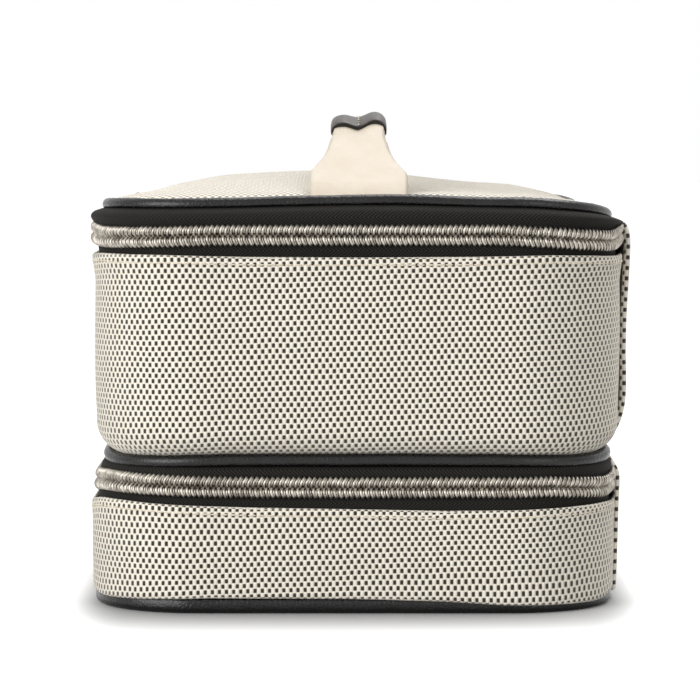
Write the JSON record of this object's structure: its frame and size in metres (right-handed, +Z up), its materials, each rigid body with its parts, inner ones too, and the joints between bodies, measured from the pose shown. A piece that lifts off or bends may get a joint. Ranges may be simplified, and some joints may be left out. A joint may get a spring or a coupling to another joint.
{
  "type": "vanity case",
  "caption": "Soft tiered vanity case with a zip-round lid, a zip-round lower tray, fabric hinges along the back and a leather carrying strap on top.",
  "frame": {"origin": "middle of the base's resting face", "axes": "X along the case, -Y front with the zip pulls, +Y back with the fabric hinges, Z up"},
  "size_m": [0.2424, 0.1738, 0.1558],
  "materials": {
    "canvas": "cream woven canvas with small dark woven squares",
    "black_leather": "black leather, fine grain, low sheen",
    "cream_leather": "cream leather, fine grain, matt",
    "zip_tape": "black herringbone tape",
    "zip_coil": "metallised coil, grey",
    "zip_metal": "gunmetal plated",
    "lining": "plain woven lining",
    "binding": "ribbed binding tape",
    "foam": "closed-cell foam",
    "board": "fibre board"
  },
  "bodies": {
    "base": {"base_panel": "black_leather", "base_trim": "black_leather", "base_board": "board", "base_wall_canvas": "canvas", "base_wall_foam": "foam", "base_lining": "lining", "base_back_panel": "canvas", "base_zip_tape": "zip_tape", "base_zip_coil": "zip_coil"},
    "upper_case": {"under_zip_tape": "zip_tape", "under_zip_coil": "zip_coil", "under_back_panel": "canvas", "mid_piping": "black_leather", "floor_underside": "lining", "floor_board": "board", "upper_wall_canvas": "canvas", "upper_wall_foam": "foam", "upper_lining": "lining", "upper_back_panel": "canvas", "upper_zip_tape": "zip_tape", "upper_zip_coil": "zip_coil"},
    "lid": {"lid_zip_tape": "zip_tape", "lid_zip_coil": "zip_coil", "lid_back_panel": "canvas", "lid_piping": "black_leather", "lid_canvas": "canvas", "lid_foam": "foam", "lid_board": "board", "lid_lining": "lining", "lid_seam_binding": "binding", "handle_strap": "cream_leather", "handle_grip": "black_leather"},
    "lid_slider_left": {"lid_slider_left": "zip_metal"},
    "lid_pull_left": {"lid_pull_left": "zip_metal", "lid_tab_left": "black_leather"},
    "lid_slider_right": {"lid_slider_right": "zip_metal"},
    "lid_pull_right": {"lid_pull_right": "zip_metal", "lid_tab_right": "black_leather"},
    "base_slider_left": {"base_slider_left": "zip_metal"},
    "base_pull_left": {"base_pull_left": "zip_metal", "base_tab_left": "black_leather"},
    "base_slider_right": {"base_slider_right": "zip_metal"},
    "base_pull_right": {"base_pull_right": "zip_metal", "base_tab_right": "black_leather"}
  },
  "joints": [
    {"name": "case_hinge", "type": "hinge", "parent": "base", "child": "upper_case", "pos_m": [0, 0.0843, 0.0393], "axis": [-1, 0, 0], "range_deg": [0, 115]},
    {"name": "lid_hinge", "type": "hinge", "parent": "upper_case", "child": "lid", "pos_m": [0, 0.0843, 0.1178], "axis": [-1, 0, 0], "range_deg": [0, 120]},
    {"name": "lid_slider_left_run", "type": "slide", "parent": "upper_case", "child": "lid_slider_left", "axis": [-1, 0, 0], "range_m": [0, 0.018]},
    {"name": "lid_pull_left_swing", "type": "hinge", "parent": "lid_slider_left", "child": "lid_pull_left", "pos_m": [-0.0595, -0.0876, 0.1178], "axis": [-1, 0, 0], "range_deg": [0, 150]},
    {"name": "lid_slider_right_run", "type": "slide", "parent": "upper_case", "child": "lid_slider_right", "axis": [1, 0, 0], "range_m": [0, 0.122]},
    {"name": "lid_pull_right_swing", "type": "hinge", "parent": "lid_slider_right", "child": "lid_pull_right", "pos_m": [-0.0445, -0.0876, 0.1178], "axis": [-1, 0, 0], "range_deg": [0, 150]},
    {"name": "base_slider_left_run", "type": "slide", "parent": "base", "child": "base_slider_left", "axis": [-1, 0, 0], "range_m": [0, 0.018]},
    {"name": "base_pull_left_swing", "type": "hinge", "parent": "base_slider_left", "child": "base_pull_left", "pos_m": [-0.0595, -0.0876, 0.0393], "axis": [-1, 0, 0], "range_deg": [0, 150]},
    {"name": "base_slider_right_run", "type": "slide", "parent": "base", "child": "base_slider_right", "axis": [1, 0, 0], "range_m": [0, 0.122]},
    {"name": "base_pull_right_swing", "type": "hinge", "parent": "base_slider_right", "child": "base_pull_right", "pos_m": [-0.0445, -0.0876, 0.0393], "axis": [-1, 0, 0], "range_deg": [0, 150]}
  ]
}
